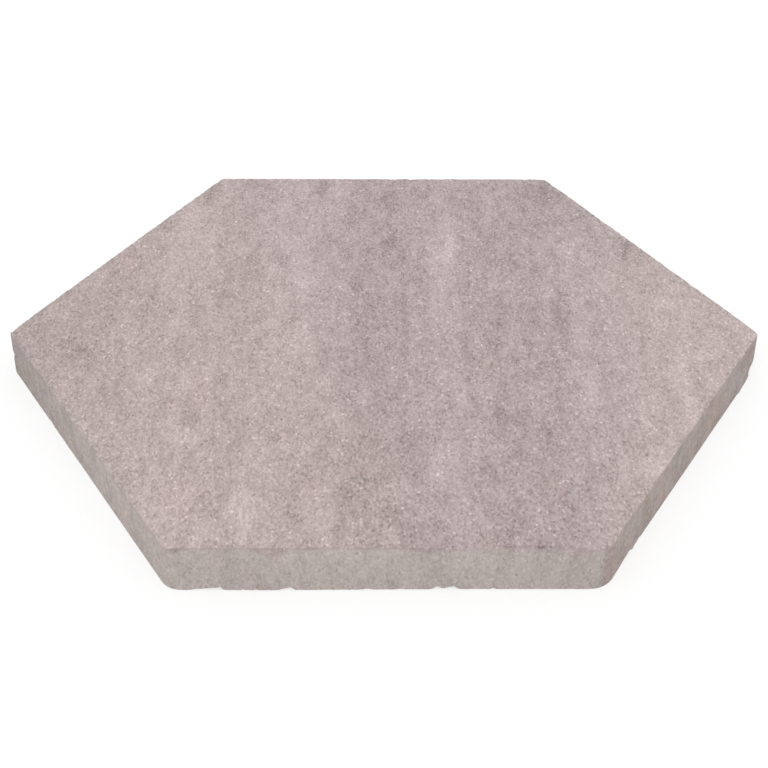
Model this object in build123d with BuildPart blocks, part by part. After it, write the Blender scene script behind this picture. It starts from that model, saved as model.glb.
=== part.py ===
"""A hexagonal paving slab, pressed in one piece from concrete.

Millimetres, +Z up. The origin is the middle of the bed face, which lies on Z = 0.
The long diagonal runs along X, so two of the six sides face -Y and +Y.
"""

import os

from build123d import *

# Driving dimensions
across_corners = 600.0  # long diagonal, between the corners before they are rounded
thickness = 38.0  # bed face to walking face
corner_radius = 8.0  # the six upright corners, as the mould rounds them
walking_arris = 1.2  # rounded edge between the walking face and the sides
bed_arris = 0.6  # slight edge break between the bed face and the sides

# The slab: a rounded hexagon pressed to its thickness, with both arrises eased
with BuildPart() as hex_slab:
    with BuildSketch(Plane.XY) as mould_outline:
        RegularPolygon(radius=across_corners / 2, side_count=6)
        fillet(mould_outline.vertices(), radius=corner_radius)
    extrude(amount=thickness)
    walking_face = hex_slab.faces().sort_by(Axis.Z)[-1]
    fillet(walking_face.edges(), radius=walking_arris)
    bed_face = hex_slab.faces().sort_by(Axis.Z)[0]
    chamfer(bed_face.edges(), length=bed_arris)

hex_slab.part.label = "hex_slab"

os.makedirs("parts", exist_ok=True)
export_step(hex_slab.part, "parts/hex_slab.step")

print("volume in cubic metres:", hex_slab.part.volume * 1e-9)
print("size in millimetres:", hex_slab.part.bounding_box().size)
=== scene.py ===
# %% [markdown]
# # A hexagonal paving slab
# This is one slab of pressed concrete, 600 mm from corner to corner and 38 mm thick. The walking face is
# coloured, in streaks of mauve and beige, and the sides show the plain grey body. A slab like this has no
# parts to put together, so all of its character is in the skin: the grain of the sand, the streaks of
# colour, the crumbly top edge, the drag marks on the sides and the chips along the bed edge. The lesson
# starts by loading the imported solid, which fixes the size and the place of everything here.

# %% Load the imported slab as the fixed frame
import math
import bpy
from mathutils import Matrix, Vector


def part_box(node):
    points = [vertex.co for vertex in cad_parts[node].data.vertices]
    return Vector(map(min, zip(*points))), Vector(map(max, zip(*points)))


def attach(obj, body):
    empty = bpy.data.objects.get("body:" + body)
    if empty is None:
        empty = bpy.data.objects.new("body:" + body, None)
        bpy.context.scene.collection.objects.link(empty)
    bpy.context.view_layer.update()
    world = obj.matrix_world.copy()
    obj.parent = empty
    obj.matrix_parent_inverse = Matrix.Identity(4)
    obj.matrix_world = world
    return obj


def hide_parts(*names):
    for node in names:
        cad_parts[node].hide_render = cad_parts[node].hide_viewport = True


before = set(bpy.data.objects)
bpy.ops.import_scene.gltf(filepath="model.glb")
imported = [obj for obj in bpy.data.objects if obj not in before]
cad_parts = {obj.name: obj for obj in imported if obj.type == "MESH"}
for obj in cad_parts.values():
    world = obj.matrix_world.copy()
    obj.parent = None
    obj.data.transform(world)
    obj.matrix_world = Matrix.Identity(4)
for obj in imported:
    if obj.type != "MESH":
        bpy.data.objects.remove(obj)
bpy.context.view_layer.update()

# %% Read the driving sizes from the solid
from types import SimpleNamespace

import bpy
import numpy as np
from mathutils import Matrix, Vector

MM = 0.001
bed_corner, face_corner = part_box("hex_slab")
thickness = face_corner.z - bed_corner.z
side = (face_corner.y - bed_corner.y) / math.sqrt(3)
print(f"side {side / MM:.1f} mm, thickness {thickness / MM:.1f} mm")

# %% [markdown]
# ## Where the camera stands
# A camera can be placed by eye, or worked out from the object. Here the six corners of the slab were matched
# to the six corners in the photograph, which gives the height, the distance and the lens. The numbers are
# kept as a compass direction, a height above the horizon and a slight tilt, because a person can read those.

# %% Camera
view_direction = math.radians(-0.47)
view_height = math.radians(35.39)
view_tilt = math.radians(0.33)
view_distance = 1.3182
view_slip = (-0.0004, -0.0099)
lens_mm = 75.78
sensor_mm = 36.0


def camera_axes(direction, height, tilt):
    """Right, up and back of a camera that looks at the origin. Back runs from the slab to the camera, right
    is level and square to it, up is square to both, and the tilt turns right and up about back."""
    level = math.cos(height)
    back = Vector((math.sin(direction) * level, -math.cos(direction) * level, math.sin(height)))
    right = Vector((math.cos(direction), math.sin(direction), 0.0))
    up = back.cross(right)
    tilted_right = right * math.cos(tilt) + up * math.sin(tilt)
    tilted_up = up * math.cos(tilt) - right * math.sin(tilt)
    return tilted_right, tilted_up, back


right, up, back = camera_axes(view_direction, view_height, view_tilt)
camera = bpy.data.objects.new("camera", bpy.data.cameras.new("camera"))
camera.data.lens = lens_mm
camera.data.sensor_width = sensor_mm
stand = back * view_distance + right * view_slip[0] + up * view_slip[1]
camera.matrix_world = Matrix.Translation(stand) @ Matrix((right, up, back)).transposed().to_4x4()
bpy.context.scene.collection.objects.link(camera)
bpy.context.scene.camera = camera
bpy.context.scene.view_settings.view_transform = "Standard"
print("camera stands at", [round(value, 3) for value in stand])

# %% [markdown]
# ## Light and floor
# Concrete looks best in light that comes from everywhere, as under an overcast sky, with one soft lamp to
# give the sides their different shades. A lamp nearby would light the near corners more, so this one is a
# sun, as wide as a big soft box. Sky and lamp together light a level surface at strength one, so a colour
# renders about as it is written. The floor is a white diffuse sheet that keeps the slab's shadow. To the
# camera alone it is greyer but glows, which lifts it to white and softens the shadow, as a photographer's
# light table does, without putting more light on the slab.

# %% Nodes helper
def put(tree, kind, feeds=None, **settings):
    """Adds a node and sets it up. A feed that is a socket is linked, any other feed is the input's value."""
    made = tree.nodes.new(kind)
    for name, value in settings.items():
        setattr(made, name, value)
    for name, value in (feeds or {}).items():
        if isinstance(value, bpy.types.NodeSocket):
            tree.links.new(value, made.inputs[name])
        else:
            made.inputs[name].default_value = value
    return made


def reckon(tree, operation, *terms):
    """One step of arithmetic on values, as a Math node, and gives its result."""
    step = put(tree, "ShaderNodeMath", dict(enumerate(terms)), operation=operation)
    return step.outputs["Value"]


def seen_directly(tree):
    """One for a ray that shows the surface to the eye, straight or by mirror or glass, and zero for the
    rest."""
    path = put(tree, "ShaderNodeLightPath")
    direct = reckon(tree, "MAXIMUM", path.outputs["Is Camera Ray"], path.outputs["Is Glossy Ray"])
    return reckon(tree, "MAXIMUM", direct, path.outputs["Is Transmission Ray"])


print("node helpers: put, reckon and seen_directly")

# %% Sky
sky_strength = 0.74
sky = bpy.data.worlds.new("overcast_sky")
sky.use_nodes = True
sky.node_tree.nodes.clear()
dome = put(sky.node_tree, "ShaderNodeBackground", {"Color": (1, 1, 1, 1), "Strength": sky_strength})
backdrop = put(sky.node_tree, "ShaderNodeBackground", {"Color": (1, 1, 1, 1), "Strength": 1.0})
shown = put(sky.node_tree, "ShaderNodeMixShader", {0: seen_directly(sky.node_tree)})
sky.node_tree.links.new(dome.outputs[0], shown.inputs[1])
sky.node_tree.links.new(backdrop.outputs[0], shown.inputs[2])
put(sky.node_tree, "ShaderNodeOutputWorld", {"Surface": shown.outputs[0]})
bpy.context.scene.world = sky
print("sky strength", sky_strength)

# %% Soft lamp
lamp_direction = math.radians(-14)
lamp_height = math.radians(50)
lamp_spread = math.radians(31)
lamp_share = 0.336
lamp_back = camera_axes(lamp_direction, lamp_height, 0)[2]
lamp = bpy.data.objects.new("soft_lamp", bpy.data.lights.new("soft_lamp", "SUN"))
lamp.data.angle = lamp_spread
lamp.data.energy = lamp_share * math.pi
lamp.location = lamp_back * view_distance
lamp.rotation_mode = "QUATERNION"
lamp.rotation_quaternion = lamp_back.to_track_quat("Z", "Y")
bpy.context.scene.collection.objects.link(lamp)
print(f"a level surface gets {sky_strength + lamp_share * lamp_back.z:.2f} of full light")

# %% Floor
floor_reach = 6.0
floor_drop = 0.1 * MM
floor_white = 0.82
floor_seen = 0.45
floor_glow = 0.585
floor_ring = np.array([(-1, -1, 0), (1, -1, 0), (1, 1, 0), (-1, 1, 0)]) * floor_reach
floor_ring[:, 2] = bed_corner.z - floor_drop
floor_mesh = bpy.data.meshes.new("floor")
floor_mesh.from_pydata(floor_ring.tolist(), [], [(0, 1, 2, 3)])
floor = bpy.data.objects.new("floor", floor_mesh)
bpy.context.scene.collection.objects.link(floor)
paper = bpy.data.materials.new("white_paper")
paper.use_nodes = True
paper.node_tree.nodes.clear()
seen = seen_directly(paper.node_tree)
white = reckon(paper.node_tree, "MULTIPLY_ADD", seen, floor_seen - floor_white, floor_white)
matt = put(paper.node_tree, "ShaderNodeBsdfDiffuse", {"Color": white})
lift = reckon(paper.node_tree, "MULTIPLY", seen, floor_glow)
glow = put(paper.node_tree, "ShaderNodeEmission", {"Color": (1, 1, 1, 1), "Strength": lift})
both = put(paper.node_tree, "ShaderNodeAddShader", {0: matt.outputs[0], 1: glow.outputs[0]})
put(paper.node_tree, "ShaderNodeOutputMaterial", {"Surface": both.outputs[0]})
floor_mesh.materials.append(paper)
print("floor reaches", floor_reach, "m each way")

# %% [markdown]
# ## Noise to roughen things with
# Nothing pressed from sand is quite even. Blender has noise textures, but they live in materials and don't
# move the mesh, so the shape gets its own noise from numpy: random values on a cubic lattice, blended
# smoothly between the corners of each cell. The lattice is turned a little, so that its rows don't show on
# the slab.

# %% Smooth noise
lattice_size = 64
lattice_angle = 0.65
lattice_axis = Vector((0.4, 0.7, 0.6)).normalized()
lattice_turn = np.array(Matrix.Rotation(lattice_angle, 3, lattice_axis))


def soft_noise(points, cell, seed):
    """Noise between -1 and 1: the random values at the eight lattice points round a place are blended by how
    far along the cell the place is, eased by 6t^5 - 15t^4 + 10t^3. The cell is one length or three."""
    values = np.random.default_rng(seed).uniform(-1, 1, (lattice_size,) * 3)
    spot = points / np.asarray(cell) @ lattice_turn
    low = np.floor(spot).astype(int)
    along = spot - low
    eased = along**3 * (along * (6 * along - 15) + 10)
    total = np.zeros(points.shape[:-1])
    for corner in np.ndindex(2, 2, 2):
        place = (low + corner) % lattice_size
        weight = np.prod(np.where(corner, eased, 1 - eased), axis=-1)
        total += weight * values[place[..., 0], place[..., 1], place[..., 2]]
    return total


def step_up(value, start, end):
    """Zero below start, one above end, and a smooth S between them."""
    share = np.clip((value - start) / (end - start), 0, 1)
    return share * share * (3 - 2 * share)


print("noise repeats after", lattice_size, "cells")

# %% [markdown]
# ## The outline
# The mould is a hexagon with rounded upright corners. Handling has worn some of them more than others, and
# the two front ones more at the bed than at the walking face. A bevel on a six-sided cylinder would give
# each corner the same radius. Here the outline is a formula instead: each side runs from the middle of one
# corner's arc to the middle of the next, in even steps, and the direction of the side turns along the arcs.
# It is worked out once for the face and once for the bed, and the sides run from one to the other.

# %% Rounded hexagon
face_radii = np.array([3.5, 9.0, 5.0, 2.0, 7.0, 8.0]) * MM
bed_radii = np.array([4.0, 9.0, 5.0, 2.0, 13.5, 21.0]) * MM
smallest_radius = 1.0 * MM
steps_on_side = 240
columns = 6 * steps_on_side


def compass(angle):
    """The level unit vector at an angle from +X."""
    return np.stack([np.cos(angle), np.sin(angle)], axis=-1)


def rounded_hexagon(radii, steps, inset=0.0):
    """Points and outward directions round the hexagon, and the distance of each from its side's first corner.
    On a side, the distance runs over half an arc, a straight and half an arc. The outward direction turns by
    distance / radius on the arcs and stays on the straight. An inset brings the sides in, and takes the same
    off the radii down to a smallest one."""
    turn = math.pi / 6
    reach = side - inset / math.cos(turn)
    rounds = np.maximum(radii - inset, smallest_radius)
    first = np.arange(6)[:, None] * 2 * turn
    start_radius = rounds[:, None]
    end_radius = np.roll(rounds, -1)[:, None]
    straight = reach - (start_radius + end_radius) * math.tan(turn)
    length = straight + (start_radius + end_radius) * turn
    along = length * np.arange(steps) / steps
    past_start = along - start_radius * turn
    past_straight = past_start - straight
    angle = first + np.clip(along / start_radius, 0, turn) + np.clip(past_straight / end_radius, 0, turn)
    outward = compass(angle)
    start_centre = compass(first) * (reach - start_radius / math.cos(turn))[..., None]
    end_centre = compass(first + 2 * turn) * (reach - end_radius / math.cos(turn))[..., None]
    on_straight = np.clip(past_start, 0, straight)[..., None] * compass(first + 4 * turn)
    from_start = start_centre + start_radius[..., None] * outward + on_straight
    from_end = end_centre + end_radius[..., None] * outward
    points = np.where((past_straight > 0)[..., None], from_end, from_start)
    return points.reshape(-1, 2), outward.reshape(-1, 2), along.reshape(-1)


rim, outward, along_side = rounded_hexagon(face_radii, steps_on_side)
bed_rim, bed_outward, _ = rounded_hexagon(bed_radii, steps_on_side)
which_side = np.repeat(np.arange(6), steps_on_side)
print(f"{columns} steps round the outline, {np.linalg.norm(rim[1] - rim[0]) / MM:.2f} mm each")

# %% [markdown]
# ## Worn and broken edges
# The top edge is left by the press stamp: sharp, but sandy, so grains drop out of it. The bed edge is broken
# where the slab was set down on its corners, and thin fins of cement stand out where the mould's wall met its
# plate. The mould isn't quite true either, so some sides lean out towards the bed and some bulge. Each of
# these could be cut by hand with modelling tools. Here each is a tent along its side instead: nothing at
# its start, full at its peak, nothing at its end. The ones in front are where the photograph shows them, and
# small breaks are scattered over the sides that it doesn't show.

# %% Breaks and fins along the bed edge
back_right, back_side, back_left, front_left, front_side, front_right = range(6)
bed_breaks = [
    (front_left, 78.0, 82.0, 85.0, 1.5),
    (front_side, 13.0, 36.5, 37.6, 2.6),
    (front_side, 50.0, 51.5, 53.0, 0.8),
    (front_side, 59.0, 60.5, 62.5, 0.7),
    (front_side, 76.0, 83.5, 87.5, 3.2),
    (front_side, 132.0, 136.5, 141.0, 0.9),
    (front_side, 156.0, 159.0, 161.5, 0.7),
    (front_side, 181.5, 184.0, 188.5, 3.6),
    (front_side, 186.5, 196.0, 199.0, 3.4),
    (front_side, 220.5, 223.0, 225.5, 0.9),
    (front_right, 18.0, 44.0, 45.5, 2.2),
    (front_right, 56.0, 58.5, 64.0, 1.6),
    (front_right, 279.0, 289.0, 297.0, 1.2),
    (back_right, 110.0, 118.0, 121.0, 1.6),
    (back_side, 190.0, 203.0, 206.0, 2.0),
    (back_left, 60.0, 68.0, 70.0, 1.4),
]
bed_fins = [
    (front_right, 44.5, 47.0, 52.0, 0.6),
    (front_right, 262.0, 268.0, 272.0, 0.7),
    (front_right, 289.0, 291.5, 294.0, 1.2),
    (back_left, 200.0, 214.0, 222.0, 0.8),
]
print(len(bed_breaks), "breaks and", len(bed_fins), "fins along the bed edge")

# %% Breaks along the top edge
face_breaks = [
    (front_left, 41.0, 44.0, 47.0, 1.2),
    (front_left, 117.0, 120.0, 124.0, 1.3),
    (front_left, 130.0, 133.0, 136.0, 1.5),
    (front_left, 145.0, 147.0, 150.0, 1.5),
    (front_left, 190.0, 192.0, 195.0, 1.2),
    (front_left, 282.0, 299.0, 320.0, 0.8),
    (front_side, -20.0, 0.0, 16.0, 0.8),
    (front_side, 52.0, 55.0, 58.0, 1.0),
    (front_side, 116.0, 118.0, 120.0, 0.8),
    (front_side, 124.0, 128.0, 132.0, 1.2),
    (front_side, 240.0, 242.0, 244.0, 1.0),
    (front_side, 251.0, 255.0, 259.0, 1.5),
    (front_side, 262.0, 299.0, 340.0, 1.2),
    (front_right, -40.0, 0.0, 28.0, 1.2),
    (front_right, 52.0, 56.0, 61.0, 1.5),
    (front_right, 94.0, 99.0, 104.0, 1.6),
    (front_right, 128.0, 134.0, 142.0, 1.1),
    (front_right, 170.0, 174.0, 178.0, 1.3),
    (front_right, 205.0, 212.0, 218.0, 1.1),
    (front_right, 229.0, 232.0, 235.0, 1.3),
    (front_right, 255.0, 262.0, 270.0, 1.2),
    (front_right, 284.0, 299.0, 340.0, 1.4),
    (back_right, -20.0, 0.0, 12.0, 1.2),
    (back_right, 80.0, 83.0, 88.0, 1.2),
    (back_side, 120.0, 124.0, 126.0, 1.4),
    (back_left, 210.0, 214.0, 217.0, 1.1),
]
print(len(face_breaks), "breaks along the top edge")

# %% Lean and bulge of the mould
mould_lean = [
    (front_side, 0.0, 9.0, 190.0, 0.9),
    (front_side, 20.0, 70.0, 200.0, 0.6),
    (front_right, 0.0, 35.0, 160.0, -0.6),
    (front_right, 200.0, 270.0, 340.0, 0.35),
]
mould_bulge = [
    (back_right, 0.0, 40.0, 300.0, 0.45),
    (back_right, 0.0, 260.0, 300.0, 0.45),
    (back_left, 0.0, 40.0, 300.0, 0.5),
    (back_left, 0.0, 260.0, 300.0, 0.5),
]
print("leaning in", len(mould_lean), "places and bulging in", len(mould_bulge))

# %% Tents round the outline
walking_arris = 0.6 * MM
bed_arris = 0.4 * MM


def tents(marks):
    """Sum of tents round the outline. Each mark names a side, then start, peak and end along it and the
    height, in millimetres, and rises and falls in straight lines."""
    total = np.zeros(columns)
    for mark_side, start, peak, end, height in marks:
        rise = np.interp(along_side / MM, [start, peak, end], [0, height, 0])
        total += np.where(which_side == mark_side, rise, 0)
    return total * MM


edge_line = np.column_stack([rim, np.zeros(columns)])
crumble = soft_noise(edge_line, 5 * MM, 11) + 0.6 * soft_noise(edge_line, 2.2 * MM, 12)
lost_grains = step_up(soft_noise(edge_line, 7 * MM, 13), 0.35, 0.75)
lost_grains += 1.3 * step_up(soft_noise(edge_line, 3.2 * MM, 15), 0.35, 0.65)
face_break = walking_arris * (1 + 0.6 * crumble + 1.0 * lost_grains)
face_break += tents(face_breaks) * (0.8 + 0.4 * crumble)
bed_crumble = np.abs(soft_noise(edge_line, 4 * MM, 14)) + 0.3 * lost_grains
bed_break = bed_arris * (0.7 + 0.8 * bed_crumble) + tents(bed_breaks) * (0.95 + 0.2 * crumble)
fins = tents(bed_fins) * (0.8 + 0.4 * crumble)
print(f"top edge broken by {face_break.min() / MM:.2f} to {face_break.max() / MM:.2f} mm")
print(f"bed edge broken by {bed_break.min() / MM:.2f} to {bed_break.max() / MM:.2f} mm")

# %% [markdown]
# ## The side skin
# From the rim of the walking face, over the top edge, down the side and round the bed edge, the slab has one
# section all the way round. So this part is a profile carried along the outline: rows are places on the
# profile, columns are steps of the outline, and each row is given as an inset from the outline and a height.
# The rows lie close together at the two edges, where the shape turns, and wide apart on the flat of the side.

# %% Profile rows
rim_width = 6.0 * MM
rim_shares = np.array([0.62, 0.34, 0.14])
arris_turns = np.radians([0, 22.5, 45, 67.5, 90])
wall_steps = 15
wall_shares = 0.5 - 0.5 * np.cos(np.pi * np.arange(1, wall_steps) / wall_steps)
bed_width = 5.0 * MM
bed_slant = 1.4
hollow_inset = 0.58
hollow_height = 0.45
bed_share = 0.4


def profile_rows():
    """Insets and heights, rows by columns. Rim: level, closing in on the top edge. Top edge: a quarter
    circle, inset r(1 - sin) and drop r(1 - cos). Wall: no inset, height eased between the edges by a cosine.
    Bed edge: a hollow break that leaves the wall at its own height and meets the bed at its own inset."""
    level = np.zeros(columns)
    high = level + thickness
    rows = [(face_break + (rim_width - face_break) * share, high) for share in rim_shares]
    for turned in arris_turns:
        rows.append((face_break * (1 - math.sin(turned)), high - face_break * (1 - math.cos(turned))))
    wall_top = high - face_break
    for share in wall_shares:
        rows.append((level, wall_top + (bed_break - wall_top) * share))
    bed_inset = bed_break * bed_slant
    rows.append((level, bed_break))
    rows.append((hollow_inset * bed_inset, hollow_height * bed_break))
    rows.append((bed_inset, level))
    rows.append((bed_inset + (bed_width - bed_inset) * bed_share, level))
    return [np.array(values) for values in zip(*rows)]


inset, height = profile_rows()
lower = 1 - height / thickness
skin_outward = outward + lower[..., None] * (bed_outward - outward)
skin_outward /= np.linalg.norm(skin_outward, axis=-1, keepdims=True)
skin = np.empty(inset.shape + (3,))
skin[..., :2] = rim + lower[..., None] * (bed_rim - rim) - inset[..., None] * skin_outward
skin[..., 2] = height
print(f"side skin of {inset.shape[0]} rows by {columns} columns")

# %% [markdown]
# ## Marks on the sides
# The mould drags over the sides as the slab is pushed out of it, and leaves upright marks, small blow holes
# and, later, dents from handling. Sculpting would do for those, but it can't be repeated or measured. A
# formula gives how far each point of the side stands proud, and every point moves that far outwards.

# %% Drag marks, blow holes and dents
side_dents = [
    (front_left, 1.0, 17.0, 1.8, 1.2),
    (front_side, 172.0, 4.5, 2.0, 0.7),
    (front_right, 299.0, 1.5, 6.5, 2.8),
    (back_right, 214.0, 11.0, 3.0, 0.8),
    (back_left, 120.0, 26.0, 2.5, 0.6),
]


def side_relief(points):
    """How far the side stands proud, in metres: broad unevenness, upright drag marks left as the slab was
    pushed out of the mould, and small blow holes where the noise is highest."""
    uneven = 0.12 * soft_noise(points, (45 * MM, 45 * MM, 60 * MM), 21)
    drag = 0.05 * soft_noise(points, (3.2 * MM, 3.2 * MM, 40 * MM), 22)
    sand = 0.05 * soft_noise(points, 3.5 * MM, 23)
    holes = 0.2 * step_up(soft_noise(points, 4 * MM, 24), 0.55, 0.85)
    return (uneven + drag + sand - holes) * MM


def dent_depth(points):
    """Depth of the placed dents, in metres. Each names a side, then the place along it, the height, the half
    width and the depth in millimetres, and is a bell: depth times exp(-(distance / half width)^2)."""
    total = np.zeros(points.shape[:-1])
    for dent_side, along, up_side, half_width, depth in side_dents:
        column = np.argmin(np.abs(along_side - along * MM) + (which_side != dent_side))
        middle = np.append(rim[column], up_side * MM)
        apart = np.linalg.norm(points - middle, axis=-1) / (half_width * MM)
        total += depth * MM * np.exp(-apart**2)
    return total


print(len(side_dents), "dents on the sides")

# %% Move the sides by their marks
calm_edge = 2 * MM
flat_inset = 0.1 * MM
fin_height = 3.5 * MM
side_drop = np.clip((thickness - height) / calm_edge, 0, 1)
side_lift = np.clip(height / calm_edge, 0, 1)
on_side = side_drop * side_lift * (inset < flat_inset)
fin_reach = np.clip(1 - height / fin_height, 0, 1)
proud = on_side * side_relief(skin) + fins * fin_reach * (inset < bed_break / 2)
proud += tents(mould_bulge) + tents(mould_lean) * lower
proud -= dent_depth(skin) * side_drop * (1 - np.minimum(inset / bed_width, 1))
skin[..., :2] += proud[..., None] * skin_outward
print(f"side relief from {proud.min() / MM:.2f} to {proud.max() / MM:.2f} mm")

# %% [markdown]
# ## The walking face and the bed face
# A flat hexagon could be one polygon, but the face needs points to carry its relief and its streaks of
# colour. A triangular lattice fills a hexagon evenly: two whole numbers a and b count steps along two
# directions that are 60 degrees apart, and a point belongs to the hexagon if a, b and a + b all stay within
# the same reach. The outer ring is then fitted to the rounded rim, and the fit fades out towards the middle.

# %% Triangular lattice
def hexagon_lattice(reach):
    """Counts a and b of the lattice points in a hexagon, and its triangles as index triples, anticlockwise.
    A cell of the lattice is two triangles, and the ones that reach outside the hexagon are dropped."""
    a, b = np.meshgrid(np.arange(-reach, reach + 1), np.arange(-reach, reach + 1), indexing="ij")
    inside = np.abs(a + b) <= reach
    number = np.where(inside, np.cumsum(inside).reshape(inside.shape) - 1, -1)
    lower = np.stack([number[:-1, :-1], number[1:, :-1], number[:-1, 1:]], axis=-1)
    upper = np.stack([number[1:, :-1], number[1:, 1:], number[:-1, 1:]], axis=-1)
    triangles = np.concatenate([lower.reshape(-1, 3), upper.reshape(-1, 3)])
    return a[inside], b[inside], triangles[(triangles >= 0).all(axis=1)]


face_a, face_b, face_triangles = hexagon_lattice(steps_on_side // 2)
bed_a, bed_b, bed_triangles = hexagon_lattice(steps_on_side // 4)
print(f"walking face of {len(face_triangles)} triangles, bed face of {len(bed_triangles)}")

# %% Fit the lattices to the rims
sixth = math.pi / 3
hair = 1e-9


def fit_to_ring(a, b, ring):
    """Level places of the lattice points, and the numbers of the outer ones in order round the ring. A point
    that is k steps out, at a share of the way round, moves towards the ring's own place there, scaled by
    k / reach, and the fourth power of k / reach says how far."""
    reach = len(ring) // 6
    out = np.maximum(np.maximum(np.abs(a), np.abs(b)), np.abs(a + b))
    plain = np.column_stack([a + b / 2, b * math.sqrt(3) / 2])
    sector = np.floor(np.arctan2(plain[:, 1], plain[:, 0]) / sixth + hair) % 6
    corner = compass(sector * sixth)
    across = corner[:, 0] * plain[:, 1] - corner[:, 1] * plain[:, 0]
    round_share = (sector + across / math.sin(sixth) / np.maximum(out, 1)) * reach
    closed = np.vstack([ring, ring[:1]])
    numbers = np.arange(len(closed))
    on_ring = np.column_stack([np.interp(round_share, numbers, closed[:, axis]) for axis in (0, 1)])
    share = (out / reach)[:, None]
    even = plain * np.linalg.norm(ring[reach // 2]) / (reach * math.cos(sixth / 2))
    places = even + share**4 * (on_ring * share - even)
    outer = np.flatnonzero(out == reach)
    return places, outer[np.argsort(round_share[outer])]


face_ring = rounded_hexagon(face_radii, steps_on_side // 2, rim_width)[0]
bed_ring = rounded_hexagon(bed_radii, steps_on_side // 2, bed_width)[0]
bed_inner_ring = rounded_hexagon(bed_radii, steps_on_side // 4, 2 * bed_width)[0]
face_places, face_edge = fit_to_ring(face_a, face_b, face_ring)
bed_places, bed_edge = fit_to_ring(bed_a, bed_b, bed_inner_ring)
face_points = np.column_stack([face_places, np.full(len(face_places), thickness)])
bed_points = np.column_stack([bed_places, np.zeros(len(bed_places))])
bed_ring_points = np.column_stack([bed_ring, np.zeros(len(bed_ring))])
print(f"{len(face_points)} points on the walking face, {len(bed_points)} on the bed face")

# %% Relief of the walking face
face_sink = 0.12
rim_fade = 1.5 * MM


def face_relief(points):
    """Height of the sanded face over a flat one, in metres: broad waves from the stamp, lumps of sand, and
    pits where the noise is highest, all sunk a little so that few points stand over the flat one."""
    level = points * (1, 1, 0)
    waves = 0.10 * soft_noise(level, 70 * MM, 31)
    lumps = 0.09 * soft_noise(level, 8 * MM, 32) + 0.12 * soft_noise(level, 4.5 * MM, 33)
    pits = 0.16 * step_up(soft_noise(level, 6 * MM, 34), 0.45, 0.8)
    return (waves + lumps - pits - face_sink) * MM


def bed_relief(points):
    """Depth of hollows in the bed face, in metres, always above the floor: it lay on the mould's plate."""
    hollows = step_up(soft_noise(points, 14 * MM, 41), 0.1, 0.8) + soft_noise(points, 9 * MM, 42)
    return np.maximum(hollows, 0) * 0.3 * MM


face_points[:, 2] += face_relief(face_points)
bed_points[:, 2] += bed_relief(bed_points)
on_rim = step_up(inset, 0, rim_fade) * (height > thickness / 2)
skin[..., 2] += on_rim * face_relief(skin)
print(f"face relief from {(face_points[:, 2].min() - thickness) / MM:.2f} mm")

# %% [markdown]
# ## Sewing the surfaces together
# The lattices have half or a quarter as many points on their outer ring as the side skin has columns, so a
# row of triangles joins them: each step of the inner ring meets two steps of the outer one. The result is
# one closed skin with every face pointing outwards, which is what a printer or a physics program needs.

# %% Faces
def stitch(inner, outer):
    """Triangles from a ring to one with twice as many points round it, anticlockwise seen from above."""
    inner_next = np.roll(inner, -1)
    first, middle, last = outer[0::2], outer[1::2], np.roll(outer[0::2], -1)
    return np.concatenate([
        np.column_stack([inner, first, middle]),
        np.column_stack([inner, middle, inner_next]),
        np.column_stack([inner_next, middle, last]),
    ])


skin_start = len(face_points)
ring_start = skin_start + inset.size
bed_start = ring_start + len(bed_ring_points)
skin_numbers = skin_start + np.arange(inset.size).reshape(inset.shape)
ring_numbers = ring_start + np.arange(len(bed_ring_points))
next_column = np.roll(skin_numbers, -1, axis=1)
skin_quads = np.stack([skin_numbers[:-1], skin_numbers[1:], next_column[1:], next_column[:-1]], axis=-1)
triangles = np.concatenate([
    face_triangles,
    stitch(face_edge, skin_numbers[0]),
    stitch(ring_numbers, skin_numbers[-1])[:, ::-1],
    stitch(bed_start + bed_edge, ring_numbers)[:, ::-1],
    bed_start + bed_triangles[:, ::-1],
])
quads = skin_quads.reshape(-1, 4)
print(len(triangles), "triangles and", len(quads), "quads")

# %% Slab mesh
points = np.concatenate([face_points, skin.reshape(-1, 3), bed_ring_points, bed_points])
slab_mesh = bpy.data.meshes.new("paving_slab")
slab_mesh.from_pydata(points.tolist(), [], triangles.tolist() + quads.tolist())
slab_mesh.polygons.foreach_set("use_smooth", np.ones(len(slab_mesh.polygons), bool))
slab = bpy.data.objects.new("paving_slab", slab_mesh)
bpy.context.scene.collection.objects.link(slab)
print(f"paving slab of {len(triangles) + 2 * len(quads)} triangles")
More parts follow.
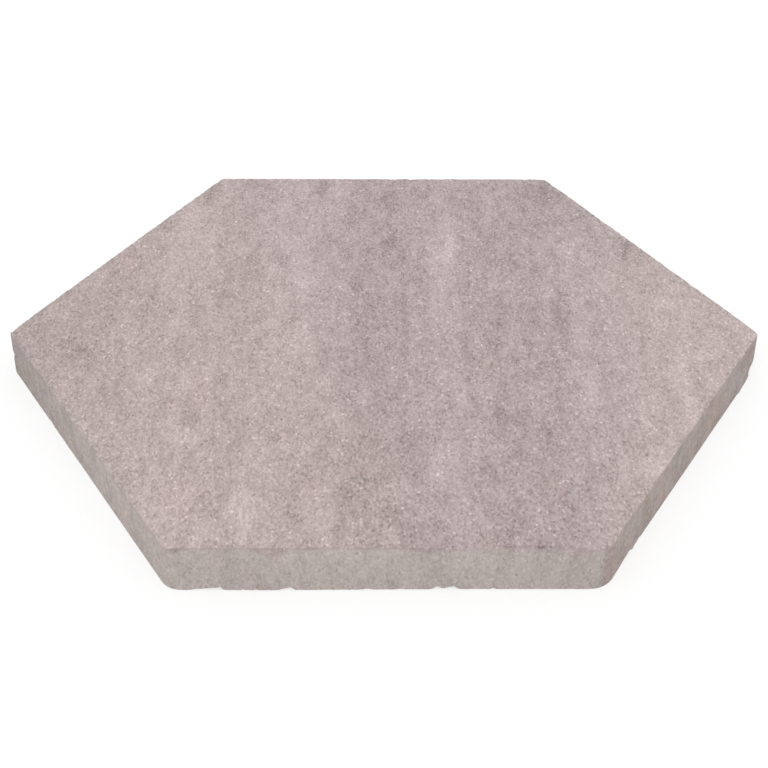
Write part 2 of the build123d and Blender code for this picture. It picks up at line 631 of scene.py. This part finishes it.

# %% [markdown]
# ## Where the colours lie
# The coloured mix is spread over the mould in strokes from front to back, so its light and dark streaks run
# that way. A noise texture alone would give streaks, but not these streaks. So the main ones are listed, each
# a soft oval with its own middle, half width, half length and strength, and kept on the mesh as an attribute
# that the material reads. Rosy blushes are placed in the same way. The mix is beige on both flanks and mauve
# between them. Noise in the material then breaks all of this up.

# %% Streaks of the facing mix
streaks = [
    # broad streaks over most of the length
    (-272, 0, 42, 120, -0.4),
    (-165, 0, 38, 300, 0.25),
    (-75, 60, 24, 230, 0.6),
    (-4, 20, 34, 300, -0.8),
    (85, 0, 16, 300, -0.25),
    (108, 10, 38, 300, -0.6),
    (238, -30, 48, 150, 0.5),
    # light patches
    (-183, -50, 9, 18, 0.6),
    (-172, 190, 8, 16, 0.6),
    (-166, 145, 18, 55, 0.8),
    (-165, -185, 20, 35, 0.45),
    (-150, -220, 16, 30, 0.7),
    (-150, -65, 9, 30, 0.5),
    (-148, -135, 8, 12, 1.1),
    (-110, -250, 42, 18, 0.85),
    (-100, -215, 8, 28, 1.8),
    (-95, -150, 7, 28, 0.5),
    (-90, 205, 7, 14, 0.9),
    (-66, 82, 9, 22, 0.6),
    (-50, -212, 7, 22, 0.9),
    (-42, -115, 6, 18, 1.2),
    (-42, -70, 6, 10, 1.2),
    (-42, 240, 8, 22, 0.9),
    (2, 0, 20, 26, 0.35),
    (42, -165, 7, 35, 1.2),
    (44, -60, 7, 22, 0.7),
    (50, 60, 12, 40, 0.9),
    (50, 113, 8, 14, 1.0),
    (50, 225, 6, 20, 0.9),
    (55, 145, 10, 25, 1.6),
    (92, 225, 6, 20, 0.6),
    (120, -122, 16, 24, 0.2),
    (120, 62, 18, 28, 0.25),
    (155, -75, 8, 30, 1.1),
    (158, 0, 6, 50, 0.5),
    (160, 125, 10, 12, 0.7),
    (163, -182, 16, 24, 0.35),
    (195, -172, 12, 15, 1.6),
    (210, -120, 22, 26, 0.7),
    (230, -60, 7, 32, 1.4),
    (237, 50, 9, 18, 1.3),
    (253, -28, 10, 9, 1.2),
    (285, 0, 18, 30, 0.65),
    # dark patches
    (-243, -25, 9, 12, -0.7),
    (-220, 70, 7, 12, -0.9),
    (-188, 40, 10, 18, -0.5),
    (-158, 238, 10, 22, -0.9),
    (-125, 45, 9, 18, -0.7),
    (-120, 112, 15, 14, -0.9),
    (-118, 240, 18, 22, -0.4),
    (-98, 30, 6, 14, -1.0),
    (-80, -120, 16, 24, -0.2),
    (-57, 240, 5, 18, -1.3),
    (-28, -205, 12, 18, -0.8),
    (-20, -25, 10, 25, -0.6),
    (2, 212, 9, 26, -0.7),
    (8, 140, 7, 13, -0.9),
    (15, -148, 11, 22, -0.6),
    (40, -205, 22, 45, -0.2),
    (45, 240, 50, 60, -0.4),
    (72, -252, 45, 14, -0.4),
    (78, 130, 6, 18, -0.6),
    (88, -117, 15, 9, -1.1),
    (120, -245, 25, 22, -0.45),
    (120, 215, 10, 25, -0.3),
    (125, -205, 7, 40, -0.8),
    (130, -88, 8, 18, -0.65),
    (132, 180, 6, 14, -0.6),
    (133, -40, 8, 16, -0.8),
    (142, 4, 6, 24, -1.3),
    (142, 42, 6, 14, -0.8),
    (146, 234, 15, 20, -1.9),
    (160, 185, 14, 22, -0.85),
    (175, 205, 14, 25, -0.6),
    (212, 135, 8, 22, -1.0),
]
print(len(streaks), "streaks placed by hand")

# %% Blushes and warmth of the facing mix
blushes = [
    (-235, -55, 24, 22, 0.7),
    (-225, 95, 14, 22, 0.9),
    (-140, -210, 24, 35, 0.8),
    (-135, -80, 26, 70, 0.8),
    (-125, 80, 22, 12, 0.7),
    (-60, -195, 20, 45, 0.8),
    (-42, 160, 13, 20, 0.6),
    (-20, -170, 22, 20, 0.8),
    (70, -248, 16, 14, 0.8),
    (85, -38, 16, 12, 0.6),
    (122, -185, 10, 32, 0.8),
]
beige_left = (25, 75)
left_slant = 0.3
beige_right = (165, 225)
right_slant = 0.15


def ovals(points, marks):
    """Sum of soft ovals: each names its middle across and along, half width, half length and strength, and is
    strength * exp(-(across / width)^2 - (along / length)^2). It is looked up at places that noise has shifted
    by a few millimetres, so that no oval keeps a clean edge."""
    sway = 4 * soft_noise(points, (14 * MM, 40 * MM, 18 * MM), 51)
    across = points[..., 0] / MM + sway
    along = points[..., 1] / MM + 2 * sway
    total = np.zeros(points.shape[:-1])
    for middle, place, half_width, half_length, strength in marks:
        apart = ((across - middle) / half_width) ** 2 + ((along - place) / half_length) ** 2
        total += strength * np.exp(-apart)
    return total


def warm_share(points):
    """How beige the mix is, from 0.1 to 0.9. It is warm left of one wavy line and right of another, and both
    run a little aslant from front to back. Each line is given as the distances from the middle where the
    beige begins and where it is full, in millimetres."""
    sway = 25 * soft_noise(points, (60 * MM, 120 * MM, 60 * MM), 52)
    across = points[..., 0] / MM + sway
    along = points[..., 1] / MM
    left = step_up(-across - left_slant * along, *beige_left)
    right = step_up(across - right_slant * along, *beige_right)
    return 0.1 + 0.8 * np.maximum(left, right)


print(len(blushes), "blushes placed by hand")

# %% [markdown]
# ## Where the sides are dirty and shaded
# When the slab is pushed out of its mould, some of the coloured mix is dragged over the top edge and down the
# side, deeper in some places than in others. Just under the edge the smear is dark with dirt and with painted
# shade, most where grains are lost, and the rim of the walking face is darkened in places by dirt and painted
# shade too. Iron in the sand stains the sides olive in some places and rose in others, grey dirt gathers in
# patches, and painted shade darkens the sides towards the bed. Painting an image would do for one view.
# Formulas of the place along the outline go all the way round instead. The mesh carries how far each smear
# reaches and how far down each point lies, and the material compares the two, so that its sand can make the
# limit ragged.

# %% Placed smears and stains
smears = [
    (front_left, -1.0, 0.0, 16.0, 24.0),
    (front_left, 66.0, 75.0, 84.0, 5.0),
    (front_side, 0.0, 7.0, 17.0, 4.0),
    (front_side, 58.0, 73.0, 88.0, 7.5),
    (front_side, 168.0, 178.0, 189.0, 4.0),
    (front_side, 260.0, 277.0, 290.0, 5.5),
    (front_right, -1.0, 0.0, 14.0, 80.0),
    (front_right, 220.0, 285.0, 301.0, 15.0),
    (back_right, 0.0, 1.0, 42.0, 12.0),
    (back_side, 96.0, 120.0, 135.0, 4.0),
    (back_left, 282.0, 300.0, 301.0, 14.0),
]
stains = [
    (front_left, 10.0, 38.0, 70.0, 0.3),
    # Rose stain with painted shade: the front right side starts darker and rosier at its corner, where its
    # shading turns.
    (front_right, -1.0, 0.0, 20.0, -0.5),
    (front_right, 54.0, 67.0, 80.0, 1.4),
    (front_right, 78.0, 98.0, 118.0, -0.4),
    (front_right, 112.0, 128.0, 142.0, 1.2),
    (front_right, 140.0, 150.0, 162.0, -0.25),
    (front_right, 160.0, 169.0, 178.0, 0.2),
    (front_right, 176.0, 192.0, 215.0, -0.2),
    (front_right, 215.0, 260.0, 300.0, 0.45),
    (back_right, 60.0, 100.0, 130.0, 0.5),
    (back_left, 150.0, 180.0, 205.0, -0.4),
]
print(len(smears), "smears and", len(stains), "stains")

# %% Placed dirt, and dirt and painted shade at the top edge
dirt_patches = [
    (front_left, -1.0, 0.0, 18.0, 0.6),
    (front_left, 18.0, 32.0, 48.0, -0.25),
    (front_left, 110.0, 128.0, 142.0, -0.3),
    (front_left, 195.0, 238.0, 264.0, -0.55),
    (front_left, 258.0, 268.0, 280.0, 0.3),
    (front_side, 60.0, 66.0, 74.0, 0.2),
    (front_side, 82.0, 128.0, 172.0, -0.3),
    (front_side, 179.0, 186.0, 193.0, 0.2),
    (front_side, 220.0, 280.0, 320.0, 0.7),
    (front_right, -300.0, 150.0, 600.0, 0.4),
    # Painted shade: darker where the front right side starts at its corner.
    (front_right, -1.0, 0.0, 14.0, 0.35),
    (front_right, 82.0, 98.0, 116.0, -0.15),
    (front_right, 150.0, 169.0, 186.0, 0.4),
    (front_right, 240.0, 262.0, 284.0, 0.4),
]
# Dirt and painted shade just under the top edge, placed along the outline.
lip_dirt_and_shade_patches = [
    (front_left, -1.0, 0.0, 18.0, 0.45),
    (front_left, 40.0, 62.0, 76.0, 0.4),
    (front_left, 205.0, 230.0, 255.0, -0.5),
    (front_side, 0.0, 90.0, 215.0, 0.55),
    (front_side, 54.0, 71.0, 90.0, -1.1),
    (front_side, 190.0, 225.0, 300.0, -0.8),
    (front_side, 262.0, 277.0, 290.0, -0.4),
    (front_right, -1.0, 0.0, 20.0, 0.25),
    (front_right, 270.0, 296.0, 320.0, 0.5),
]
# Dirt and painted shade on the rim of the walking face, placed along the outline.
rim_dirt_and_shade_marks = [
    (front_left, 40.0, 60.0, 80.0, 0.4),
    (front_side, 6.0, 45.0, 100.0, 0.8),
    (front_side, 130.0, 150.0, 176.0, 0.3),
    (front_side, 175.0, 240.0, 302.0, 0.7),
    (front_side, 238.0, 242.0, 246.0, 0.4),
    (front_side, 247.0, 254.0, 260.0, 0.7),
    (front_side, 264.0, 271.0, 278.0, 0.4),
    (front_right, 270.0, 300.0, 320.0, 0.5),
]
print(len(dirt_patches), "patches,", len(lip_dirt_and_shade_patches), "under the edge and", len(rim_dirt_and_shade_marks), "on the rim")

# %% How far the mixes come down
facing_depth = 0.4
smear_depth = np.array([2.6, 2.0, 2.6, 2.7, 1.7, 2.9])


def facing_reach():
    """How far the facing mix itself comes down over the top edge, in millimetres, at each step of the
    outline: noise round a small depth, and more where grains are lost or the edge is broken."""
    wander = 0.8 * soft_noise(edge_line, 8 * MM, 53) + 0.7 * soft_noise(edge_line, 2.8 * MM, 58)
    return facing_depth + wander + 0.3 * lost_grains + 0.9 * tents(face_breaks) / MM


def smear_reach():
    """How far the smear below it comes down, in millimetres: a depth for each side, noise, and the placed
    smears."""
    wander = soft_noise(edge_line, 11 * MM, 54) + 0.7 * soft_noise(edge_line, 30 * MM, 60)
    return smear_depth[which_side] * (1 + 0.8 * np.maximum(wander, -0.7)) + tents(smears) / MM


print(f"facing comes down {facing_reach().mean():.1f} mm on average, its smear {smear_reach().mean():.1f} mm")

# %% How dirty the edge and the sides are
# Strength for each side of the dirt and painted shade at the top edge.
lip_dirt_and_shade = np.array([0.3, 0.6, 0.3, 0.45, 1.0, 0.2])
# The rim's dirt and painted shade fade out between these insets.
rim_dirt_and_shade_start = 0.4 * MM
rim_dirt_and_shade_end = 2.6 * MM
corner_dirt_end = 205.0
corner_dirt_fade = 150.0
corner_grime = 1.4
past_corner_grime = -0.25
hidden_grime = 0.45
# Painted shade: the sides are darker towards the bed.
shade_towards_bed = 0.35


def smear_dirt_and_shade():
    """How dark the dirt and painted shade in the smear under the top edge are, from 0 to about 1.5: a
    strength for each side times noise and lost grains, and more at the placed smears and patches. Lost grains
    add painted shade in their hollows."""
    wander = soft_noise(edge_line, 6 * MM, 55) + 0.9 * soft_noise(edge_line, 2.6 * MM, 56)
    placed = np.minimum(tents(smears) / (4 * MM), 1)
    caught = 0.25 + 0.75 * step_up(wander, -0.8, 1.0) + 0.25 * lost_grains
    return np.maximum(lip_dirt_and_shade[which_side] * caught + 0.25 * placed + tents(lip_dirt_and_shade_patches) / MM, 0)


def rim_dirt_and_shade(inset):
    """Dirt and painted shade on the rim of the walking face, in the measure of the streaks: noise times a
    strength for each side, and the placed marks, fading out within three millimetres of the edge."""
    wander = soft_noise(edge_line, 5 * MM, 61) + 0.8 * soft_noise(edge_line, 2.4 * MM, 62)
    caught = 0.7 * lip_dirt_and_shade[which_side] * step_up(wander, -0.2, 1.0) + tents(rim_dirt_and_shade_marks) / MM
    return caught * (1 - step_up(inset, rim_dirt_and_shade_start, rim_dirt_and_shade_end))


def side_grime_and_shade(height):
    """Grey dirt on the sides, with painted shade towards the bed: the shade grows towards the bed, and the
    dirt lies over the part of the front left side next to its left corner, a little on the back sides, and at
    the placed patches, where a negative one is a cleaner place."""
    near_corner = step_up(corner_dirt_end - along_side / MM, 0, corner_dirt_fade)
    corner_dirt = (corner_grime * near_corner + past_corner_grime) * (which_side == front_left)
    hidden_dirt = np.isin(which_side, [back_left, back_side, back_right]) * hidden_grime
    patches = tents(dirt_patches) / MM
    return corner_dirt + hidden_dirt + patches + shade_towards_bed * (1 - height / thickness)


print(f"grime from {side_grime_and_shade(height).min():.2f} to {side_grime_and_shade(height).max():.2f}")

# %% How the iron stains the sides
side_stain = np.array([0.3, 0.1, 0.1, 0.0, 0.0, -0.5])


def iron_stain(points):
    """Stain of iron in the sand, from about -1 for rose to 1 for olive: a base for each side, the placed
    stains and noise."""
    wander = 0.25 * soft_noise(points, (16 * MM, 16 * MM, 30 * MM), 57)
    return side_stain[which_side] + tents(stains) / MM + wander


print(f"stain from {iron_stain(skin).min():.2f} for rose to {iron_stain(skin).max():.2f} for olive")

# %% Put the washes on the mesh
on_face = (height > thickness / 2) & (inset > face_break)
skin_drop = np.where(on_face, 0, thickness - height)
fade_depth = 2.0 * MM
face_fade = 1 - step_up(skin_drop, 0, fade_depth)
edge_blush = 0.8
all_over = 20.0
bed_grime = 0.5
bed_stain = 0.1


def over_all(on_walking_face, on_skin, on_bed):
    """One value a point for the whole mesh, from its three surfaces."""
    face_values = np.full(len(face_points), on_walking_face)
    bed_values = np.full(len(bed_ring_points) + len(bed_points), on_bed)
    return np.concatenate([face_values, on_skin.ravel(), bed_values])


facing_share = over_all(1.0, face_fade, 0.0)
# Dirt and painted shade on the rim, taken off the streaks.
shaded_dirty_rim = over_all(0.0, rim_dirt_and_shade(inset) * face_fade, 0.0)
rosy_edge = over_all(0.0, edge_blush * (1 - face_fade), 0.0)
washes = {
    "streaks": ovals(points, streaks) * facing_share - shaded_dirty_rim,
    "warmth": warm_share(points) * facing_share,
    "blush": ovals(points, blushes) * facing_share + rosy_edge,
    "drop": over_all(0.0, skin_drop / MM, thickness / MM),
    "facing": over_all(all_over, np.where(on_face, all_over, facing_reach()), 0.0),
    "smear": over_all(all_over, np.where(on_face, all_over, smear_reach()), 0.0),
    # Dirt and painted shade just under the top edge.
    "edge_dirt_and_shade": over_all(0.0, np.where(on_face, 0, smear_dirt_and_shade()), 0.0),
    # Grey dirt, and painted shade towards the bed.
    "grime_and_shade": over_all(0.0, side_grime_and_shade(height), bed_grime),
    "stain": over_all(0.0, iron_stain(skin), bed_stain),
}
for wash_name, wash in washes.items():
    slab_mesh.attributes.new(wash_name, "FLOAT", "POINT").data.foreach_set("value", wash)
    print(f"{wash_name} from {wash.min():.2f} to {wash.max():.2f}")

# %% [markdown]
# ## Sand
# Both mixes are sand and cement, so both use the same grain, and it is made once as a node group. A noise
# texture looks like felt, because it has no separate grains. A cell pattern has them: each cell is a grain
# with a tone of its own, and a little noise over it is the cement dust. A second, coarser cell pattern picks
# out a few big grains: some are pale quartz specks, and some are pits where a grain has dropped out, sunk in
# the bump and painted darker by the mixes as the shade in their hollows. The group gives these as separate
# masks, so that each mix can decide how strongly they show.

# %% Sand grain group
def ramp(tree, value, start, end, low=0.0, high=1.0):
    """Eases a value from low to high while it runs from start to end."""
    feeds = {"Value": value, "From Min": start, "From Max": end, "To Min": low, "To Max": high}
    return put(tree, "ShaderNodeMapRange", feeds, interpolation_type="SMOOTHSTEP").outputs["Result"]


def make_sand_grain():
    """Group with the place and the grain's size going in. Sand is a cell's tone s, from -1 to 1, as
    0.4(s + 1.6s^3), and the dust's noise. Specks and pits are the cores of the coarse cells that draw the
    highest and the lowest lots. Height is the dust, lower towards a grain's rim, raised at specks and sunk
    at pits."""
    group = bpy.data.node_groups.new("sand_grain", "ShaderNodeTree")
    group.interface.new_socket("Vector", in_out="INPUT", socket_type="NodeSocketVector")
    group.interface.new_socket("Grains per metre", in_out="INPUT", socket_type="NodeSocketFloat")
    for name in ("Sand", "Specks", "Pits", "Height"):
        group.interface.new_socket(name, in_out="OUTPUT", socket_type="NodeSocketFloat")
    into = put(group, "NodeGroupInput")
    place = into.outputs["Vector"]
    fineness = into.outputs["Grains per metre"]
    dust_feeds = {"Vector": place, "Scale": fineness, "Detail": 2.0, "Roughness": 0.6}
    dust = put(group, "ShaderNodeTexNoise", dust_feeds).outputs["Fac"]
    grains = put(group, "ShaderNodeTexVoronoi", {"Vector": place, "Scale": fineness})
    tone = put(group, "ShaderNodeSeparateColor", {"Color": grains.outputs["Color"]}).outputs["Green"]
    swing = reckon(group, "MULTIPLY_ADD", tone, 2.0, -1.0)
    steep = reckon(group, "MULTIPLY_ADD", reckon(group, "POWER", swing, 3.0), 1.6, swing)
    sand = reckon(group, "MULTIPLY_ADD", steep, 0.4, reckon(group, "SUBTRACT", dust, 0.5))
    coarse = reckon(group, "MULTIPLY", fineness, 0.5)
    stones = put(group, "ShaderNodeTexVoronoi", {"Vector": place, "Scale": coarse})
    lot = put(group, "ShaderNodeSeparateColor", {"Color": stones.outputs["Color"]}).outputs["Red"]
    core = ramp(group, stones.outputs["Distance"], 0.25, 0.45, 1.0, 0.0)
    specks = reckon(group, "MULTIPLY", ramp(group, lot, 0.88, 0.95), core)
    pits = reckon(group, "MULTIPLY", ramp(group, lot, 0.04, 0.08, 1.0, 0.0), core)
    domes = reckon(group, "MULTIPLY_ADD", grains.outputs["Distance"], -0.4, dust)
    raised = reckon(group, "MULTIPLY_ADD", specks, 0.2, domes)
    bumps = reckon(group, "MULTIPLY_ADD", pits, -0.4, raised)
    put(group, "NodeGroupOutput", {"Sand": sand, "Specks": specks, "Pits": pits, "Height": bumps})
    return group


sand_grain = make_sand_grain()
print("sand grain group gives", [item.name for item in sand_grain.interface.items_tree])

# %% [markdown]
# ## Pressed concrete
# The finish follows the real order of work. The facing mix is mauve where the iron oxide is strong and beige
# where it is weak, lighter and darker in streaks, clouded by damp and cement, and grained with sand. The grey
# body mix has less contrast and is scored upright by the mould. Which of the two shows depends on how far
# down the side a place lies. The sand's own tone is added in a pale tint rather than multiplied in, because a
# bright grain of quartz is not a stronger pink than its neighbours.

# %% Colours of the mixes
mauve = (0.485, 0.4055, 0.4030, 1)
beige = (0.490, 0.4090, 0.3920, 1)
pink = (0.504, 0.4005, 0.3925, 1)
grey_body = (0.4725, 0.4155, 0.3970, 1)
olive_body = (0.455, 0.375, 0.3210, 1)
rose_body = (0.471, 0.3820, 0.3490, 1)
grain_tint = (0.4635, 0.4165, 0.4135)
print("facing between", mauve[:3], "and", beige[:3])

# %% Helpers for values and colours
def attribute(tree, name):
    """One of the values that the mesh carries."""
    return put(tree, "ShaderNodeAttribute", attribute_name=name).outputs["Fac"]


def blend(tree, share, first, second):
    """Mixes two colours by a share."""
    feeds = {"Factor": share, 6: first, 7: second}
    return put(tree, "ShaderNodeMix", feeds, data_type="RGBA", clamp_factor=True).outputs[2]


def blend_values(tree, share, first, second):
    """Mixes two values by a share."""
    feeds = {"Factor": share, "A": first, "B": second}
    return put(tree, "ShaderNodeMix", feeds, data_type="FLOAT", clamp_factor=True).outputs[0]


def sum_of(tree, start, *weighted):
    """Adds pairs of a value and its weight to a start."""
    total = start
    for value, weight in weighted:
        total = reckon(tree, "MULTIPLY_ADD", value, weight, total)
    return total


print("material helpers: attribute, blend, blend_values and sum_of")

# %% Tones of the concrete
grains_per_metre = 700
clouds_per_metre = 80
strokes_per_metre = 85
scores_per_metre = 320


def stretched(tree, place, scale):
    """The place, with a pattern on it drawn out along each axis whose scale is under one."""
    return put(tree, "ShaderNodeMapping", {"Vector": place, "Scale": scale}).outputs["Vector"]


def noise(tree, place, scale, detail, roughness):
    """A noise texture, with its value and its colour coming out."""
    feeds = {"Vector": place, "Scale": scale, "Detail": detail, "Roughness": roughness}
    return put(tree, "ShaderNodeTexNoise", feeds).outputs


def concrete_tones(tree):
    """The sand grain's four outputs, and four noises round zero: clouds of damp, blushes of pigment in the
    same clouds, strokes of the mix from front to back, and upright scores of the mould."""
    place = put(tree, "ShaderNodeTexCoord").outputs["Object"]
    grain_feeds = {"Vector": stretched(tree, place, (1, 0.7, 0.7)), "Grains per metre": grains_per_metre}
    sand, specks, pits, bumps = put(tree, "ShaderNodeGroup", grain_feeds, node_tree=sand_grain).outputs
    cloud = noise(tree, stretched(tree, place, (1, 0.6, 0.6)), clouds_per_metre, 3.0, 1.0)
    stroke = noise(tree, stretched(tree, place, (1, 0.22, 0.3)), strokes_per_metre, 1.0, 0.6)
    score = noise(tree, stretched(tree, place, (1, 1, 0.08)), scores_per_metre, 2.0, 0.6)
    pigment = put(tree, "ShaderNodeSeparateColor", {"Color": cloud["Color"]}).outputs["Green"]
    return SimpleNamespace(
        sand=sand,
        specks=specks,
        pits=pits,
        bumps=bumps,
        clouds=reckon(tree, "SUBTRACT", cloud["Fac"], 0.5),
        blush=reckon(tree, "SUBTRACT", pigment, 0.5),
        strokes=reckon(tree, "SUBTRACT", stroke["Fac"], 0.5),
        scores=reckon(tree, "SUBTRACT", score["Fac"], 0.5),
    )


print(f"sand grains of about {1 / grains_per_metre / MM:.1f} mm")

# %% The two mixes
facing_sand = 0.246
body_sand = 0.15


def facing_mix(tree, tones):
    """Colour, brightness and grain of the facing: mauve to beige by warmth, then pink by blush, and brighter
    or darker by streaks, clouds and strokes."""
    warmth = reckon(tree, "MULTIPLY_ADD", tones.blush, 1.5, attribute(tree, "warmth"))
    rosy = reckon(tree, "MULTIPLY_ADD", tones.blush, -1.0, attribute(tree, "blush"))
    colour = blend(tree, rosy, blend(tree, warmth, mauve, beige), pink)
    streak = attribute(tree, "streaks")
    light = sum_of(tree, 1.0, (streak, 0.13), (tones.clouds, 0.68), (tones.strokes, 0.34))
    # Pits are painted darker, as the shade in their hollows.
    grain = sum_of(tree, 0.0, (tones.sand, facing_sand), (tones.specks, 0.38), (tones.pits, -0.13))
    return colour, light, grain


def body_mix(tree, tones):
    """Colour, brightness and grain of the body: grey, olive or rose by the stain of iron, darker by dirt and
    by painted shade towards the bed, and uneven by clouds, strokes and scores."""
    stain = attribute(tree, "stain")
    colour = blend(tree, stain, grey_body, olive_body)
    colour = blend(tree, reckon(tree, "MULTIPLY", stain, -1.0), colour, rose_body)
    # Dirt, and painted shade towards the bed, darken the body.
    light = sum_of(tree, 1.0, (attribute(tree, "grime_and_shade"), -0.11), (tones.clouds, 0.60))
    light = sum_of(tree, light, (tones.strokes, 0.25), (tones.scores, 0.15))
    # Pits are painted darker, as the shade in their hollows.
    grain = sum_of(tree, 0.0, (tones.sand, body_sand), (tones.pits, -0.12))
    return colour, light, grain


print(f"sand shows {body_sand / facing_sand:.0%} as strongly in the body as in the facing")

# %% Where the facing ends
facing_blur = 0.5
smear_blur = 1.6
# Drops where the dirt and painted shade under the top edge begin and are full.
edge_dirt_and_shade_start = 0.1
edge_dirt_and_shade_full = 0.6


def edge_masks(tree, tones):
    """Masks of the pure facing, of the smear under it and of the dirt and painted shade in the smear just
    under the top edge. A place is inside while its drop is less than the reach that the mesh carries, and
    clouds and sand make the limit ragged. All lengths are in millimetres."""
    drop = attribute(tree, "drop")
    ragged = sum_of(tree, 0.0, (tones.clouds, 4.0), (tones.sand, 0.6))
    above_edge = reckon(tree, "SUBTRACT", attribute(tree, "facing"), drop)
    pure = ramp(tree, reckon(tree, "ADD", above_edge, ragged), -facing_blur, facing_blur)
    above_smear = reckon(tree, "SUBTRACT", attribute(tree, "smear"), drop)
    ragged_smear = reckon(tree, "MULTIPLY_ADD", ragged, 2.0, above_smear)
    smear = ramp(tree, ragged_smear, -smear_blur, smear_blur)
    below_edge = reckon(tree, "MAXIMUM", reckon(tree, "MULTIPLY_ADD", pure, -0.5, smear), 0.0)
    gathered = reckon(tree, "MULTIPLY", below_edge, ramp(tree, drop, edge_dirt_and_shade_start, edge_dirt_and_shade_full))
    # Dirt and painted shade under the top edge.
    dirt = reckon(tree, "MULTIPLY", attribute(tree, "edge_dirt_and_shade"), gathered)
    return pure, smear, dirt


print(f"facing fades out over {2 * facing_blur} mm, its smear over {2 * smear_blur} mm")

# %% Concrete material
smear_share = 0.72
# How much the dirt and painted shade under the top edge darken.
edge_dirt_and_shade_share = 0.22
grain_relief = 0.7 * MM


def make_concrete():
    """Facing and body mixes, blended by how far the facing and its smear come down and darkened by dirt and
    painted shade under the top edge, then the grain in its own tint, and the same grain for the bump."""
    material = bpy.data.materials.new("pressed_concrete")
    material.use_nodes = True
    tree = material.node_tree
    tree.nodes.clear()
    tones = concrete_tones(tree)
    facing_colour, facing_light, facing_grain = facing_mix(tree, tones)
    body_colour, body_light, body_grain = body_mix(tree, tones)
    pure, smear, dirt = edge_masks(tree, tones)
    facing = reckon(tree, "MAXIMUM", pure, reckon(tree, "MULTIPLY", smear, smear_share))
    colour = blend(tree, facing, body_colour, facing_colour)
    clean = blend_values(tree, facing, body_light, facing_light)
    # Darkened by dirt and painted shade under the top edge.
    light = reckon(tree, "MULTIPLY_ADD", dirt, -edge_dirt_and_shade_share, clean)
    grain = blend_values(tree, pure, body_grain, facing_grain)
    lit = put(tree, "ShaderNodeVectorMath", {0: colour, "Scale": light}, operation="SCALE").outputs["Vector"]
    grain_feeds = {0: grain_tint, 1: grain, 2: lit}
    grained = put(tree, "ShaderNodeVectorMath", grain_feeds, operation="MULTIPLY_ADD").outputs["Vector"]
    relief_feeds = {"Height": tones.bumps, "Strength": 0.8, "Distance": grain_relief}
    relief = put(tree, "ShaderNodeBump", relief_feeds).outputs["Normal"]
    shell_feeds = {"Base Color": grained, "Roughness": 0.92, "Specular IOR Level": 0.2, "Normal": relief}
    shell = put(tree, "ShaderNodeBsdfPrincipled", shell_feeds)
    put(tree, "ShaderNodeOutputMaterial", {"Surface": shell.outputs["BSDF"]})
    return material


slab_mesh.materials.append(make_concrete())
print("pressed concrete is on", slab.name)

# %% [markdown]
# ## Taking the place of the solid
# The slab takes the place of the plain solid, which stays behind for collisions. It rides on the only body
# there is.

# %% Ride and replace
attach(slab, "root")
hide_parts("hex_slab")
